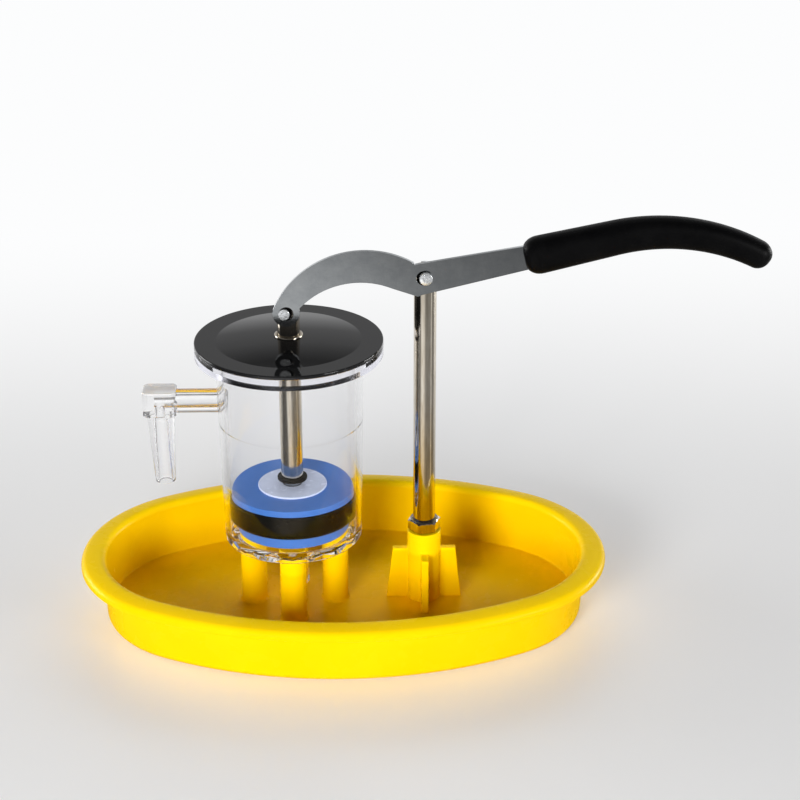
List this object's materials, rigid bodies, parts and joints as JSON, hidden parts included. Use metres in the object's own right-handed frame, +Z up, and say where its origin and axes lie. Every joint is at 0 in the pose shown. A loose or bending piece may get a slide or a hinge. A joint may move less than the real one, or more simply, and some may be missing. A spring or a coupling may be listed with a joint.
{
  "type": "hand pump demonstrator",
  "caption": "Clear-cylinder lift pump on an oval basin; a rocking lever on a column works the piston, with flap disc valves and a side spout.",
  "frame": {"origin": "centre of the basin's underside, on the plane that it stands on", "axes": "+X along the basin towards the handle, +Y from the pictured side to the far side, +Z up"},
  "size_m": [0.3056, 0.154, 0.1919],
  "materials": {
    "yellow_plastic": "glossy injection-moulded plastic",
    "clear_plastic": "clear polystyrene, glossy",
    "black_gloss": "glossy black plastic",
    "nickel": "nickel-plated, slightly dull",
    "zinc_steel": "zinc-plated sheet steel",
    "black_rubber": "satin rubber",
    "grip_black": "satin soft plastic",
    "blue_plastic": "satin moulded plastic",
    "valve_film": "translucent soft plastic"
  },
  "bodies": {
    "base": {"tray": "yellow_plastic", "cylinder_posts": "yellow_plastic", "post_screws": "zinc_steel", "column_socket": "yellow_plastic", "column_tube": "nickel", "column_lock_nut": "zinc_steel", "column_base_nut": "zinc_steel", "column_base_washer": "zinc_steel", "cylinder_barrel": "clear_plastic", "inlet_nozzle": "clear_plastic", "lid": "black_gloss", "lid_bush": "nickel", "spout_pipe": "clear_plastic", "spout_elbow": "clear_plastic", "spout_nozzle": "clear_plastic", "column_pivot_screw": "zinc_steel", "column_pivot_washer": "black_rubber", "column_pivot_nut": "zinc_steel"},
    "lever": {"lever_plate": "zinc_steel", "lever_grip": "grip_black"},
    "piston": {"piston_rod": "nickel", "rod_pin": "zinc_steel", "rod_stud": "zinc_steel", "valve_stop_washer": "black_rubber", "valve_spacer": "zinc_steel", "piston_top_plate": "blue_plastic", "piston_seal": "black_rubber", "piston_lower_plate": "blue_plastic", "piston_washer": "zinc_steel", "piston_nut": "zinc_steel"},
    "piston_valve": {"piston_valve_disc": "valve_film"},
    "foot_valve": {"foot_valve_disc": "valve_film"}
  },
  "joints": [
    {"name": "lever_hinge", "type": "hinge", "parent": "base", "child": "lever", "pos_m": [0.0369, 0, 0.1655], "axis": [0, 1, 0], "range_deg": [0, 29]},
    {"name": "piston_slide", "type": "slide", "parent": "base", "child": "piston", "axis": [0, 0, 1], "range_m": [0, 0.0318]},
    {"name": "piston_valve_lift", "type": "slide", "parent": "piston", "child": "piston_valve", "axis": [0, 0, 1], "range_m": [0, 0.002]},
    {"name": "foot_valve_lift", "type": "slide", "parent": "base", "child": "foot_valve", "axis": [0, 0, 1], "range_m": [0, 0.002]}
  ],
  "couplings": [
    {"joint": "piston_slide", "follows": "lever_hinge", "m_per_rad": 0.0627}
  ]
}
